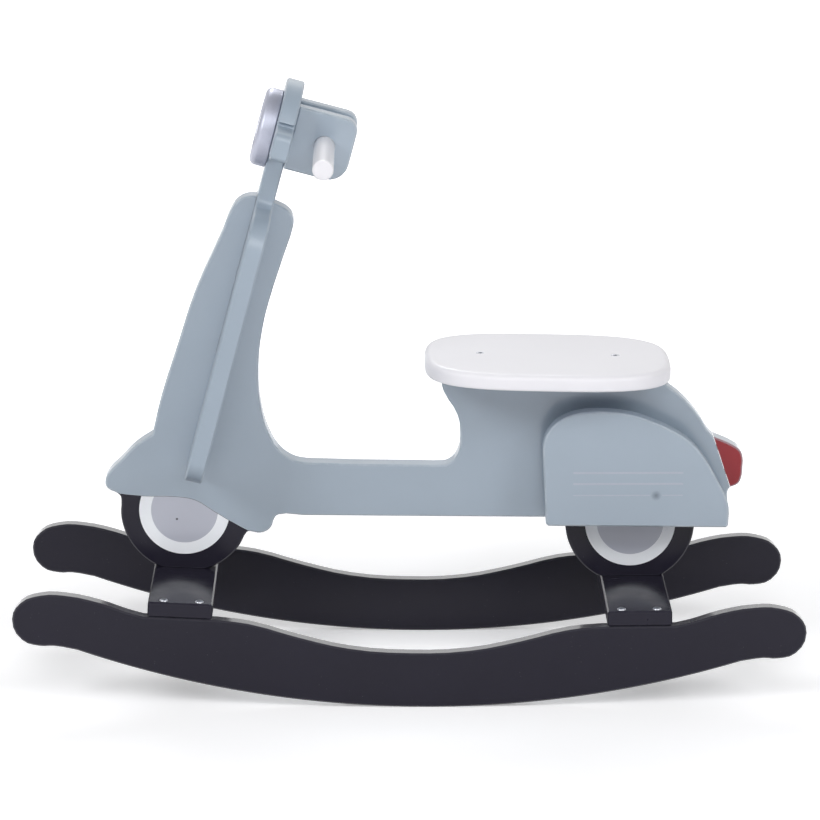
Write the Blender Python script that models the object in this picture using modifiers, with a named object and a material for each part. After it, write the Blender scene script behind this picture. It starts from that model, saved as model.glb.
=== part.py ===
"""Rocking scooter, a painted board toy on two curved rockers.

Sizes are in metres. The scooter frame has its origin under the middle of the rolling arc, +X to the
tail, -Y to the rider's left, +Z up. The whole toy then leans back by REST_TILT, as it stands at rest.
"""

import math

import bmesh
import bpy
from mathutils import Matrix, Vector

# Fits and softened edges
FIT_GAP = 0.0003
EDGE_ROUND = 0.0015
CUT_MARGIN = 0.004

# Rest pose: the toy rolls back on its rockers until its weight is over the floor contact
REST_TILT = math.radians(1.2)
REST_SHIFT = 0.0195

# Rockers
ROLL_RADIUS = 1.007
ROCKER_HALF_LENGTH = 0.380
ROCKER_THICKNESS = 0.015
ROCKER_SPREAD = 0.265
ROCKER_WAIST = 0.0538
BOARD_SEAT_MARGIN = 0.004

# Cross-boards
BOARD_X = 0.220
BOARD_SEAT_Z = 0.085
BOARD_SLOPE = math.radians(1.7)
BOARD_WIDTH = 0.062
BOARD_THICKNESS = 0.015

# Wheels, flat plates in the plane of the body
WHEEL_RADIUS = 0.0635
FRONT_HUB_RISE = 0.0590
REAR_HUB_RISE = 0.0553
REAR_WHEEL_SHIFT = -0.0045

# Body
BODY_THICKNESS = 0.022
FOOT_BAR_TOP_RISE = 0.1085
FOOT_BAR_BOTTOM_RISE = 0.0555
SEAT_POST_RISE = 0.204

# Shield and head plate, measured up from the shield's foot along the plate
SHIELD_LEAN = math.radians(13.79)
SHIELD_FOOT_AHEAD = 0.0088
SHIELD_FOOT_RISE = 0.0444
SHIELD_THICKNESS = 0.017
SHIELD_HALF_WIDTH = 0.092
SHIELD_SHOULDER = 0.266
SHIELD_SHOULDER_ROUND = 0.034
SHIELD_LAP = 0.115
NECK_HALF_WIDTH = 0.024
NECK_TOP = 0.321
WING_HALF_WIDTH = 0.088
WING_TOP = 0.3545
HEAD_CENTRE = 0.3415
HEAD_HALF_WIDTH = 0.059
HEAD_HALF_HEIGHT = 0.0505
COLUMN_TOP = 0.275

# Headlight
HEADLIGHT_RADIUS = 0.038
HEADLIGHT_DEPTH = 0.0162
HEADLIGHT_ROUND = 0.0045
HEADLIGHT_RIM = 0.004
HEADLIGHT_RECESS = 0.0015

# Handlebar
CHEEK_THICKNESS = 0.018
CHEEK_GAP = 0.019
CHEEK_LENGTH = 0.0595
CHEEK_HALF_HEIGHT = 0.0311
CHEEK_CENTRE = 0.3419
CHEEK_TOP_ROUND = 0.012
CHEEK_BOTTOM_ROUND = 0.019
ROD_RADIUS = 0.010
ROD_LENGTH = 0.300
ROD_BEHIND_SHIELD = 0.0325
ROD_END_ROUND = 0.0025

# Seat
SEAT_X = 0.1302
SEAT_LENGTH = 0.239
SEAT_WIDTH = 0.186
SEAT_THICKNESS = 0.0155
SEAT_CORNER_POWER = 3.2
SEAT_TOP_ROUND = 0.006
SEAT_BOTTOM_ROUND = 0.002
SEAT_SCREW_SPACING = 0.1315

# Cowls and their spacers
COWL_THICKNESS = 0.018
COWL_GAP = 0.019
COWL_DOWEL_RISE = 0.048
COWL_DOWEL_SPACING = 0.060

# Screws and dowels
SCREW_HEAD_RADIUS = 0.0042
SCREW_SHANK_RADIUS = 0.0020
SCREW_TIP = 0.004
SCREW_SOCKET_RADIUS = 0.0020
SCREW_SOCKET_DEPTH = 0.0016
BOARD_SCREW_LENGTH = 0.040
BOARD_SCREW_OFFSET = 0.017
WHEEL_SCREW_LENGTH = 0.038
WHEEL_SCREW_OFFSET = 0.013
SEAT_SCREW_LENGTH = 0.045
CHEEK_SCREW_LENGTH = 0.042
CHEEK_SCREW_OFFSET = 0.018
HEADLIGHT_SCREW_LENGTH = 0.025
DOWEL_RADIUS = 0.003
DOWEL_CHAMFER = 0.0006
WHEEL_DOWEL_LENGTH = 0.028
WHEEL_DOWEL_OFFSET = 0.020
TAIL_DOWEL_LENGTH = 0.022
TAIL_DOWEL_OFFSET = 0.013
COWL_DOWEL_INSET = 0.006

# Fineness of the meshes
FLAT_ANGLE = math.radians(0.1)
ROLL_FACET = REST_TILT / 1.5
OUTLINE_STEPS = 3
FILLET_STEPS = 5
ROUND_STEPS = 40
ROD_STEPS = 24
SCREW_STEPS = 10
RIM_STEP = 12

# Places that follow from the sizes
NOSE_LENGTH = ROCKER_HALF_LENGTH - BOARD_X - BOARD_WIDTH / 2 - BOARD_SEAT_MARGIN
ROLL_REACH = ROCKER_HALF_LENGTH - 0.464 * NOSE_LENGTH
BOARD_TOP_Z = BOARD_SEAT_Z + BOARD_THICKNESS
FRONT_WHEEL_X = -BOARD_X
REAR_WHEEL_X = BOARD_X + REAR_WHEEL_SHIFT
FRONT_HUB_Z = BOARD_TOP_Z + FRONT_HUB_RISE
REAR_HUB_Z = BOARD_TOP_Z + REAR_HUB_RISE
FOOT_BAR_TOP_Z = BOARD_TOP_Z + FOOT_BAR_TOP_RISE
FOOT_BAR_BOTTOM_Z = BOARD_TOP_Z + FOOT_BAR_BOTTOM_RISE
SEAT_POST_Z = BOARD_TOP_Z + SEAT_POST_RISE
SHIELD_FOOT_X = FRONT_WHEEL_X + SHIELD_FOOT_AHEAD
SHIELD_FOOT_Z = FRONT_HUB_Z + SHIELD_FOOT_RISE
SHIELD_FRONT = -SHIELD_THICKNESS / 2
SHIELD_REAR = SHIELD_THICKNESS / 2
ROCKER_Y = (ROCKER_SPREAD - ROCKER_THICKNESS) / 2
CHEEK_Y = (CHEEK_GAP + CHEEK_THICKNESS) / 2
COWL_Y = BODY_THICKNESS / 2 + COWL_GAP + COWL_THICKNESS / 2
SPACER_Y = BODY_THICKNESS / 2 + COWL_GAP / 2
SIDES = (("left", -1), ("right", 1))

# The straight seam between the tail and its light, from the rear hub
TAIL_SEAM_TOP = (0.0789, 0.0869)
TAIL_SEAM_BOTTOM = (0.0972, 0.0364)
TAIL_SEAM_ANGLE = math.atan2(TAIL_SEAM_TOP[1] - TAIL_SEAM_BOTTOM[1], TAIL_SEAM_BOTTOM[0] - TAIL_SEAM_TOP[0])
TAIL_SEAM_NORMAL = (math.sin(TAIL_SEAM_ANGLE), math.cos(TAIL_SEAM_ANGLE))

# How a drawn outline stands: its x runs along the toy, or across it, and its y runs up
ALONG = (math.radians(90), 0, 0)
ACROSS = (math.radians(90), 0, math.radians(90))

# Names for the two kinds of outline point
SMOOTH = 'AUTO'
SHARP = 'VECTOR'


def clear_scene():
    for old in list(bpy.data.objects):
        bpy.data.objects.remove(old, do_unlink=True)


def new_collection(name):
    group = bpy.data.collections.new(name)
    bpy.context.scene.collection.children.link(group)
    return group


clear_scene()
PARTS = new_collection("rocking_scooter")
CUTTERS = new_collection("cutters")


# Finishes
def linear(channel):
    share = channel / 255
    return share / 12.92 if share <= 0.04045 else ((share + 0.055) / 1.055) ** 2.4


def finish(name, red, green, blue, roughness, metallic=0.0):
    material = bpy.data.materials.new(name)
    material.use_nodes = True
    shader = material.node_tree.nodes["Principled BSDF"]
    shader.inputs["Base Color"].default_value = (linear(red), linear(green), linear(blue), 1)
    shader.inputs["Roughness"].default_value = roughness
    shader.inputs["Metallic"].default_value = metallic
    material.diffuse_color = (linear(red), linear(green), linear(blue), 1)
    return material


BLUE_GREY = finish("blue_grey_paint", 152, 166, 176, 0.32)
BLACK = finish("black_paint", 50, 48, 57, 0.25)
WHITE = finish("white_paint", 238, 238, 242, 0.30)
RED = finish("red_paint", 140, 58, 68, 0.35)
SILVER = finish("silver_paint", 190, 192, 206, 0.35, 0.4)
STEEL = finish("zinc_plated_steel", 178, 180, 184, 0.35, 1.0)
BEECH = finish("beech_dowel", 214, 182, 140, 0.65)


# Frames that carry the pieces
def frame_empty(name, parent, location, tilt):
    empty = bpy.data.objects.new(name, None)
    empty.location = location
    empty.rotation_euler = (0, tilt, 0)
    empty.parent = parent
    PARTS.objects.link(empty)
    return empty


def arc_centre_offset():
    """Place of the scooter frame's origin once the toy has rolled back about its arc's centre."""
    centre = Vector((0, 0, ROLL_RADIUS))
    turned = Matrix.Rotation(REST_TILT, 3, 'Y') @ centre
    return centre - turned + Vector((REST_SHIFT, 0, 0))


TOY = frame_empty("rest_pose", None, arc_centre_offset(), REST_TILT)
LEAN = frame_empty("shield_lean", TOY, (SHIELD_FOOT_X, 0, SHIELD_FOOT_Z), SHIELD_LEAN)
FRONT_SEAT = frame_empty("front_board_seat", TOY, (-BOARD_X, 0, BOARD_SEAT_Z), BOARD_SLOPE)
REAR_SEAT = frame_empty("rear_board_seat", TOY, (BOARD_X, 0, BOARD_SEAT_Z), -BOARD_SLOPE)


# Outline points
def smooth(x, z):
    return (x, z, SMOOTH)


def sharp(x, z):
    return (x, z, SHARP)


def about_front_hub(x, z, kind=SMOOTH):
    return (FRONT_WHEEL_X + x, FRONT_HUB_Z + z, kind)


def about_rear_hub(x, z, kind=SMOOTH):
    return (REAR_WHEEL_X + x, REAR_HUB_Z + z, kind)


def on_column(behind, up):
    """A point given along the leaning shield: behind its middle plane, and up from its foot."""
    x = SHIELD_FOOT_X + behind * math.cos(SHIELD_LEAN) + up * math.sin(SHIELD_LEAN)
    z = SHIELD_FOOT_Z - behind * math.sin(SHIELD_LEAN) + up * math.cos(SHIELD_LEAN)
    return smooth(x, z)


def filleted(corners, steps=FILLET_STEPS):
    """A closed outline from corners (x, z, radius), each rounded to its radius."""
    knots = []
    for index, (x, z, radius) in enumerate(corners):
        if radius == 0:
            knots.append(sharp(x, z))
            continue
        here = Vector((x, z))
        before = (Vector(corners[index - 1][:2]) - here).normalized()
        after = (Vector(corners[(index + 1) % len(corners)][:2]) - here).normalized()
        half_angle = before.angle(after) / 2
        centre = here + (before + after).normalized() * radius / math.sin(half_angle)
        start = here + before * radius / math.tan(half_angle) - centre
        end = here + after * radius / math.tan(half_angle) - centre
        sweep = math.atan2(start.x * end.y - start.y * end.x, start.dot(end))
        for step in range(steps + 1):
            spoke = Matrix.Rotation(sweep * step / steps, 2) @ start
            knots.append(sharp(centre.x + spoke.x, centre.y + spoke.y))
    return knots


# Making pieces
def add_object(name, mesh, parent, location, rotation, material):
    piece = bpy.data.objects.new(name, mesh)
    piece.parent = parent
    piece.location = location
    piece.rotation_euler = rotation
    if material:
        PARTS.objects.link(piece)
        mesh.materials.clear()
        mesh.materials.append(material)
    else:
        CUTTERS.objects.link(piece)
        piece.hide_render = True
        piece.display_type = 'WIRE'
    return piece


def outline_mesh(name, knots, thickness, edge_round, grow=0.0):
    """A flat board drawn as a filled curve, with its edges softened, as a welded mesh."""
    curve = bpy.data.curves.new(name, 'CURVE')
    curve.dimensions = '2D'
    curve.fill_mode = 'BOTH'
    curve.resolution_u = OUTLINE_STEPS
    curve.extrude = thickness / 2 - edge_round
    curve.bevel_depth = edge_round
    curve.bevel_resolution = 0
    curve.offset = grow - edge_round
    if any(kind == SMOOTH for x, y, kind in knots):
        spline = curve.splines.new('BEZIER')
        spline.bezier_points.add(len(knots) - 1)
        for point, (x, y, kind) in zip(spline.bezier_points, knots):
            point.co = (x, y, 0)
            point.handle_left_type = kind
            point.handle_right_type = kind
    else:
        spline = curve.splines.new('POLY')
        spline.points.add(len(knots) - 1)
        for point, (x, y, kind) in zip(spline.points, knots):
            point.co = (x, y, 0, 1)
    spline.use_cyclic_u = True
    drawing = bpy.data.objects.new(name + "_drawing", curve)
    CUTTERS.objects.link(drawing)
    evaluated = drawing.evaluated_get(bpy.context.evaluated_depsgraph_get())
    mesh = bpy.data.meshes.new_from_object(evaluated)
    mesh.name = name
    bpy.data.objects.remove(drawing, do_unlink=True)
    shape = bmesh.new()
    shape.from_mesh(mesh)
    bmesh.ops.remove_doubles(shape, verts=shape.verts, dist=0.00001)
    bmesh.ops.dissolve_limit(shape, angle_limit=FLAT_ANGLE, verts=shape.verts, edges=shape.edges)
    bmesh.ops.recalc_face_normals(shape, faces=shape.faces)
    shape.to_mesh(mesh)
    shape.free()
    return mesh


def board(name, knots, thickness, parent, location, rotation, material):
    mesh = outline_mesh(name, knots, thickness, EDGE_ROUND)
    return add_object(name, mesh, parent, location, rotation, material)


def box(name, size, parent, location, rotation=(0, 0, 0), material=None):
    shape = bmesh.new()
    bmesh.ops.create_cube(shape, size=1, matrix=Matrix.Diagonal((*size, 1)))
    mesh = bpy.data.meshes.new(name)
    shape.to_mesh(mesh)
    shape.free()
    return add_object(name, mesh, parent, location, rotation, material)


def turned(name, profile, steps, parent, location, rotation=(0, 0, 0), material=None):
    """A turned piece: its half profile, (radius, height) from the top down, swept round."""
    mesh = bpy.data.meshes.new(name)
    edges = [(index, index + 1) for index in range(len(profile) - 1)]
    mesh.from_pydata([(radius, 0, height) for radius, height in profile], edges, [])
    piece = add_object(name, mesh, parent, location, rotation, material)
    lathe = piece.modifiers.new("turn", 'SCREW')
    lathe.steps = steps
    lathe.render_steps = steps
    lathe.use_merge_vertices = True
    lathe.merge_threshold = 0.00001
    lathe.use_smooth_shade = False
    return piece


def cut(piece, cutter):
    difference = piece.modifiers.new("cut_" + cutter.name, 'BOOLEAN')
    difference.operation = 'DIFFERENCE'
    difference.object = cutter
    difference.solver = 'EXACT'


def soften(piece, width, segments=1):
    rounding = piece.modifiers.new("soft_edges", 'BEVEL')
    rounding.width = width
    rounding.segments = segments
    rounding.limit_method = 'ANGLE'
    rounding.angle_limit = math.radians(40)


# Fasteners, each with the hole that it needs in the pieces it joins
def screw_profile(length, clearance):
    head = SCREW_HEAD_RADIUS + clearance
    shank = SCREW_SHANK_RADIUS + clearance
    cone_end = -(SCREW_HEAD_RADIUS - SCREW_SHANK_RADIUS)
    body = [(head, 0), (shank, cone_end), (shank, -length + SCREW_TIP), (0, -length - clearance)]
    if clearance:
        return [(0, CUT_MARGIN), (head, CUT_MARGIN)] + body
    socket_floor = -SCREW_SOCKET_DEPTH
    socket = [(0, socket_floor), (SCREW_SOCKET_RADIUS, socket_floor), (SCREW_SOCKET_RADIUS, 0)]
    return socket + body


def add_screw(name, length, parent, head_at, rotation, joined):
    turned(name, screw_profile(length, 0), SCREW_STEPS, parent, head_at, rotation, STEEL)
    hole = turned("hole_" + name, screw_profile(length, FIT_GAP), SCREW_STEPS, parent, head_at, rotation)
    for piece in joined:
        cut(piece, hole)


def dowel_profile(length, clearance):
    radius = DOWEL_RADIUS + clearance
    top = length / 2 + clearance
    return [(0, top), (radius - DOWEL_CHAMFER, top), (radius, top - DOWEL_CHAMFER),
            (radius, -top + DOWEL_CHAMFER), (radius - DOWEL_CHAMFER, -top), (0, -top)]


def add_dowel(name, length, parent, middle, rotation, joined):
    turned(name, dowel_profile(length, 0), SCREW_STEPS, parent, middle, rotation, BEECH)
    hole = turned("hole_" + name, dowel_profile(length, FIT_GAP), SCREW_STEPS, parent, middle, rotation)
    for piece in joined:
        cut(piece, hole)


# Rockers
def rocker_outline():
    """Both halves alike: a rolling arc below, an upturned nose, a flat board seat and a waist.

    The nose's points are shares of its length back from the tip, and heights over the arc's end. The arc's facets touch it at their middles, and one of them lies flat on the floor at rest.
    """
    roll_end_z = ROLL_RADIUS - math.sqrt(ROLL_RADIUS ** 2 - ROLL_REACH ** 2)
    facet_count = int(math.asin(ROLL_REACH / ROLL_RADIUS) / ROLL_FACET)
    corner_radius = ROLL_RADIUS / math.cos(ROLL_FACET / 2)
    half = []
    for step in range(facet_count + 1):
        angle = ROLL_FACET * step
        half.append(sharp(corner_radius * math.sin(angle), ROLL_RADIUS - corner_radius * math.cos(angle)))
    nose = [(0.320, 0.0022), (0.216, 0.0019), (0.076, 0.0076), (0.0, 0.0281), (0.064, 0.0441),
            (0.216, 0.0519), (0.400, 0.0523), (0.672, 0.0456), (0.872, 0.0372)]
    half += [smooth(ROCKER_HALF_LENGTH - share * NOSE_LENGTH, roll_end_z + up) for share, up in nose]
    seat_half = BOARD_WIDTH / 2 + BOARD_SEAT_MARGIN
    seat_z = BOARD_SEAT_Z - FIT_GAP
    inner_x = BOARD_X - seat_half
    inner_z = seat_z - seat_half * math.tan(BOARD_SLOPE)
    half.append(sharp(BOARD_X + seat_half, seat_z + seat_half * math.tan(BOARD_SLOPE)))
    half.append(sharp(inner_x, inner_z))
    for along, rise in ((0.83, 0.88), (0.57, 0.45), (0.31, 0.11), (0.0, 0.0)):
        half.append(smooth(inner_x * along, ROCKER_WAIST + (inner_z - ROCKER_WAIST) * rise))
    other = [(-x, z, kind) for x, z, kind in reversed(half[1:-1])]
    return half + other


def make_rockers():
    rockers = []
    for side, sign in SIDES:
        place = (0, sign * ROCKER_Y, 0)
        rockers.append(board("rocker_" + side, rocker_outline(), ROCKER_THICKNESS, TOY, place, ALONG, BLACK))
    return rockers


# Body
def rim(about_hub, first, last):
    """Points round a wheel from one angle to the other, both in degrees from the tail."""
    count = round(abs(last - first) / RIM_STEP)
    points = []
    for step in range(count + 1):
        angle = math.radians(first + (last - first) * step / count)
        points.append(about_hub(WHEEL_RADIUS * math.cos(angle), WHEEL_RADIUS * math.sin(angle)))
    return points


def plate_outline():
    """The middle plate with its wheels: column, foot bar, seat post, tail, rear wheel, front wheel, fender."""
    top = COLUMN_TOP
    bar = FOOT_BAR_TOP_Z
    post = SEAT_POST_Z
    column = [on_column(-0.0489, 0.0549), on_column(-0.0462, 0.1113), on_column(-0.0429, 0.1686),
              on_column(-0.0320, top - 0.0398), on_column(-0.0293, top - 0.0185),
              on_column(-0.0249, top - 0.0082), on_column(-0.0155, top - 0.0012),
              on_column(-0.0081, top), on_column(0.0102, top - 0.0022),
              on_column(0.0254, top - 0.0066), on_column(0.0314, top - 0.0140),
              on_column(0.0325, top - 0.0215), on_column(0.0310, top - 0.0478),
              on_column(0.0285, 0.1782), on_column(0.0291, 0.1509), on_column(0.0354, 0.1091),
              on_column(0.0486, 0.0712), on_column(0.0612, 0.0506), on_column(0.0742, 0.0374)]
    foot_bar = [smooth(FRONT_WHEEL_X + 0.1003, bar + 0.0049), smooth(FRONT_WHEEL_X + 0.1108, bar + 0.0010),
                smooth(FRONT_WHEEL_X + 0.1314, bar), smooth(SEAT_X - 0.1200, bar)]
    seat_post = [smooth(SEAT_X - 0.1022, bar + 0.0002), smooth(SEAT_X - 0.0942, bar + 0.0016),
                 smooth(SEAT_X - 0.0853, bar + 0.0117), smooth(SEAT_X - 0.0831, post - 0.0636),
                 smooth(SEAT_X - 0.0862, post - 0.0446), smooth(SEAT_X - 0.1000, post - 0.0217),
                 smooth(SEAT_X - 0.1026, post - 0.0128), sharp(SEAT_X - 0.1026, post),
                 sharp(SEAT_X + 0.1020, post)]
    tail = [about_rear_hub(0.0295, 0.1390), about_rear_hub(0.0486, 0.1243), about_rear_hub(0.0649, 0.1055),
            about_rear_hub(0.0732, 0.0926), about_rear_hub(*TAIL_SEAM_TOP, SHARP),
            about_rear_hub(0.0980, 0.0789), about_rear_hub(0.1057, 0.0730), about_rear_hub(0.1081, 0.0666),
            about_rear_hub(0.1083, 0.0568), about_rear_hub(0.1074, 0.0459), about_rear_hub(0.1045, 0.0400),
            about_rear_hub(*TAIL_SEAM_BOTTOM, SHARP), about_rear_hub(0.0949, 0.0330),
            about_rear_hub(0.0949, 0.0231), about_rear_hub(0.0964, 0.0150),
            about_rear_hub(0.0966, 0.0046, SHARP)]
    rear_wheel = [about_rear_hub(0.0668, 0.0043, SHARP), about_rear_hub(0.0642, 0.0025)]
    rear_wheel += rim(about_rear_hub, -2, -178)
    rear_wheel += [about_rear_hub(-0.0642, 0.0012), about_rear_hub(-0.0668, 0.0028, SHARP)]
    lobe = [smooth(FRONT_WHEEL_X + 0.1150, FOOT_BAR_BOTTOM_Z), about_front_hub(0.0906, -0.0035),
            about_front_hub(0.0873, -0.0063), about_front_hub(0.0829, -0.0172),
            about_front_hub(0.0737, -0.0222), about_front_hub(0.0640, -0.0211)]
    front_wheel = [about_front_hub(0.0612, -0.0211)] + rim(about_front_hub, -21, -187)
    front_wheel += [about_front_hub(-0.0637, 0.0122)]
    fender = [about_front_hub(-0.0668, 0.0154), about_front_hub(-0.0767, 0.0206),
              about_front_hub(-0.0787, 0.0273), about_front_hub(-0.0748, 0.0369),
              about_front_hub(-0.0643, 0.0480), about_front_hub(-0.0488, 0.0644),
              about_front_hub(-0.0329, 0.0755, SHARP)]
    return column + foot_bar + seat_post + tail + rear_wheel + lobe + front_wheel + fender


def front_seam():
    """Where the front wheel meets the body, from the foot bar's side to the fender's nose."""
    return [about_front_hub(0.0700, -0.0247, SHARP), about_front_hub(0.0421, -0.0098),
            about_front_hub(0.0249, 0.0007), about_front_hub(0.0092, 0.0100),
            about_front_hub(-0.0092, 0.0130), about_front_hub(-0.0420, 0.0131),
            about_front_hub(-0.0750, 0.0161, SHARP)]


def rear_seam():
    """Where the rear wheel meets the body's lower edge."""
    return [about_rear_hub(0.0662, 0.0041, SHARP), about_rear_hub(-0.0662, 0.0026, SHARP)]


def below(seam):
    """The area under a seam, down past the wheel."""
    floor_z = BOARD_TOP_Z - 2 * CUT_MARGIN
    return seam + [sharp(seam[-1][0], floor_z), sharp(seam[0][0], floor_z)]


def behind_tail_seam():
    """The area of the tail light, from a little over the seam's ends to past the tail."""
    along = Vector((math.cos(TAIL_SEAM_ANGLE), -math.sin(TAIL_SEAM_ANGLE)))
    over = Vector(TAIL_SEAM_TOP) - along * 0.006
    under = Vector(TAIL_SEAM_BOTTOM) + along * 0.006
    outward = Vector(TAIL_SEAM_NORMAL) * 0.030
    corners = (over, over + outward, under + outward, under)
    return [about_rear_hub(corner.x, corner.y, SHARP) for corner in corners]


def region(name, knots, grow=0.0):
    """A cutter through the whole plate over the given area."""
    mesh = outline_mesh(name, knots, 2 * BODY_THICKNESS, 0.0, grow)
    return add_object(name, mesh, TOY, (0, 0, 0), ALONG, None)


def plate_piece(name, knots, material):
    """The part of the middle plate that lies in the given area, with sharp faces where it was sawn off."""
    piece = board(name, plate_outline(), BODY_THICKNESS, TOY, (0, 0, 0), ALONG, material)
    keep = piece.modifiers.new("keep_area", 'BOOLEAN')
    keep.operation = 'INTERSECT'
    keep.object = region("area_of_" + name, knots)
    keep.solver = 'EXACT'
    return piece


def make_body():
    body = board("body_plate", plate_outline(), BODY_THICKNESS, TOY, (0, 0, 0), ALONG, BLUE_GREY)
    cut(body, region("front_wheel_clearance", below(front_seam()), FIT_GAP))
    cut(body, region("rear_wheel_clearance", below(rear_seam()), FIT_GAP))
    cut(body, region("tail_light_clearance", behind_tail_seam(), FIT_GAP))
    slot_height = COLUMN_TOP - SHIELD_LAP + 2 * CUT_MARGIN
    slot_size = (SHIELD_THICKNESS + 2 * FIT_GAP, BODY_THICKNESS + 2 * CUT_MARGIN, slot_height)
    slot_middle = (0, 0, SHIELD_LAP - FIT_GAP / 2 + slot_height / 2)
    cut(body, box("slot_for_shield", slot_size, LEAN, slot_middle))
    return body


# Shield, neck and head plate
def shield_outline():
    wing_bottom = NECK_TOP + 0.006
    right = [(SHIELD_HALF_WIDTH, 0, 0.025), (SHIELD_HALF_WIDTH, SHIELD_SHOULDER, SHIELD_SHOULDER_ROUND),
             (NECK_HALF_WIDTH, SHIELD_SHOULDER + 0.003, 0.009), (NECK_HALF_WIDTH, NECK_TOP, 0.002),
             (WING_HALF_WIDTH, wing_bottom, 0.005), (WING_HALF_WIDTH, WING_TOP - 0.001, 0.008),
             (0.048, WING_TOP, 0.0015)]
    dome = []
    dome_steps = 20
    dome_start = math.radians(20)
    for step in range(dome_steps + 1):
        angle = dome_start + (math.pi - 2 * dome_start) * step / dome_steps
        dome.append((HEAD_HALF_WIDTH * math.cos(angle), HEAD_CENTRE + HEAD_HALF_HEIGHT * math.sin(angle), 0))
    left = [(-x, z, radius) for x, z, radius in reversed(right)]
    return filleted(right + dome + left)


def make_shield():
    shield = board("shield_plate", shield_outline(), SHIELD_THICKNESS, LEAN, (0, 0, 0), ACROSS, BLUE_GREY)
    slot_height = SHIELD_LAP + FIT_GAP / 2 + CUT_MARGIN
    slot_size = (SHIELD_THICKNESS + 2 * CUT_MARGIN, BODY_THICKNESS + 2 * FIT_GAP, slot_height)
    slot_middle = (0, 0, slot_height / 2 - CUT_MARGIN)
    cut(shield, box("slot_for_body", slot_size, LEAN, slot_middle))
    return shield


# Headlight
def make_headlight(shield):
    radius = HEADLIGHT_RADIUS
    depth = HEADLIGHT_DEPTH
    face = radius - HEADLIGHT_ROUND
    lens = face - HEADLIGHT_RIM
    profile = [(0, depth - HEADLIGHT_RECESS), (lens, depth - HEADLIGHT_RECESS), (lens, depth), (face, depth)]
    for degrees in (30, 60, 90):
        angle = math.radians(degrees)
        profile.append((face + HEADLIGHT_ROUND * math.sin(angle),
                        depth - HEADLIGHT_ROUND * (1 - math.cos(angle))))
    profile += [(radius, 0), (0, 0)]
    place = (SHIELD_FRONT - FIT_GAP, 0, HEAD_CENTRE)
    facing_front = (0, math.radians(-90), 0)
    headlight = turned("headlight", profile, ROUND_STEPS, LEAN, place, facing_front, SILVER)
    add_screw("headlight_screw", HEADLIGHT_SCREW_LENGTH, LEAN, (SHIELD_REAR, 0, HEAD_CENTRE),
              (0, math.radians(90), 0), (shield, headlight))
    return headlight


# Handlebar
def cheek_outline():
    front = SHIELD_REAR + FIT_GAP
    rear = SHIELD_REAR + CHEEK_LENGTH
    low = CHEEK_CENTRE - CHEEK_HALF_HEIGHT
    high = CHEEK_CENTRE + CHEEK_HALF_HEIGHT
    return filleted([(front, low, 0), (rear, low, CHEEK_BOTTOM_ROUND), (rear, high, CHEEK_TOP_ROUND),
                     (front, high, 0)])


def make_handlebar(shield):
    rod_place = (SHIELD_REAR + ROD_BEHIND_SHIELD, 0, HEAD_CENTRE)
    rod_hole = rod_cutter(rod_place)
    for side, sign in SIDES:
        place = (0, sign * CHEEK_Y, 0)
        cheek = board("handlebar_cheek_" + side, cheek_outline(), CHEEK_THICKNESS, LEAN, place, ALONG, BLUE_GREY)
        cut(cheek, rod_hole)
        for level, up in (("lower", -1), ("upper", 1)):
            head_at = (SHIELD_FRONT, sign * CHEEK_Y, HEAD_CENTRE + up * CHEEK_SCREW_OFFSET)
            add_screw("cheek_screw_" + side + "_" + level, CHEEK_SCREW_LENGTH, LEAN, head_at,
                      (0, math.radians(-90), 0), (shield, cheek))
    half = ROD_LENGTH / 2
    rounding = ROD_END_ROUND
    end = [(0, half), (ROD_RADIUS - rounding, half), (ROD_RADIUS - rounding * 0.29, half - rounding * 0.29),
           (ROD_RADIUS, half - rounding)]
    profile = end + [(radius, -height) for radius, height in reversed(end)]
    turned("handlebar_rod", profile, ROD_STEPS, LEAN, rod_place, (math.radians(90), 0, 0), WHITE)


def rod_cutter(place):
    radius = ROD_RADIUS + FIT_GAP
    half = CHEEK_Y + CHEEK_THICKNESS
    profile = [(0, half), (radius, half), (radius, -half), (0, -half)]
    return turned("hole_for_rod", profile, ROD_STEPS, LEAN, place, (math.radians(90), 0, 0))


# Seat
def seat_outline():
    """A rounded rectangle between an oval and a box, as a superellipse."""
    steps = 56
    power = 2 / SEAT_CORNER_POWER
    knots = []
    for step in range(steps):
        angle = 2 * math.pi * step / steps
        cosine = math.cos(angle)
        sine = math.sin(angle)
        x = SEAT_LENGTH / 2 * math.copysign(abs(cosine) ** power, cosine)
        y = SEAT_WIDTH / 2 * math.copysign(abs(sine) ** power, sine)
        knots.append(sharp(x, y))
    return knots


def make_seat(body):
    mesh = outline_mesh("seat_board", seat_outline(), SEAT_THICKNESS, 0.0)
    weights = mesh.attributes.new("bevel_weight_edge", 'FLOAT', 'EDGE')
    for edge in mesh.edges:
        heights = [mesh.vertices[index].co.z for index in edge.vertices]
        if min(heights) > 0:
            weights.data[edge.index].value = 1.0
        elif max(heights) < 0:
            weights.data[edge.index].value = SEAT_BOTTOM_ROUND / SEAT_TOP_ROUND
    middle = (SEAT_X, 0, SEAT_POST_Z + FIT_GAP + SEAT_THICKNESS / 2)
    seat = add_object("seat_board", mesh, TOY, middle, (0, 0, 0), WHITE)
    rounding = seat.modifiers.new("rounded_rims", 'BEVEL')
    rounding.limit_method = 'WEIGHT'
    rounding.width = SEAT_TOP_ROUND
    rounding.segments = 3
    top = middle[2] + SEAT_THICKNESS / 2
    for end, sign in (("front", -1), ("rear", 1)):
        head_at = (SEAT_X + sign * SEAT_SCREW_SPACING / 2, 0, top)
        add_screw("seat_screw_" + end, SEAT_SCREW_LENGTH, TOY, head_at, (0, 0, 0), (seat, body))


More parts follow.
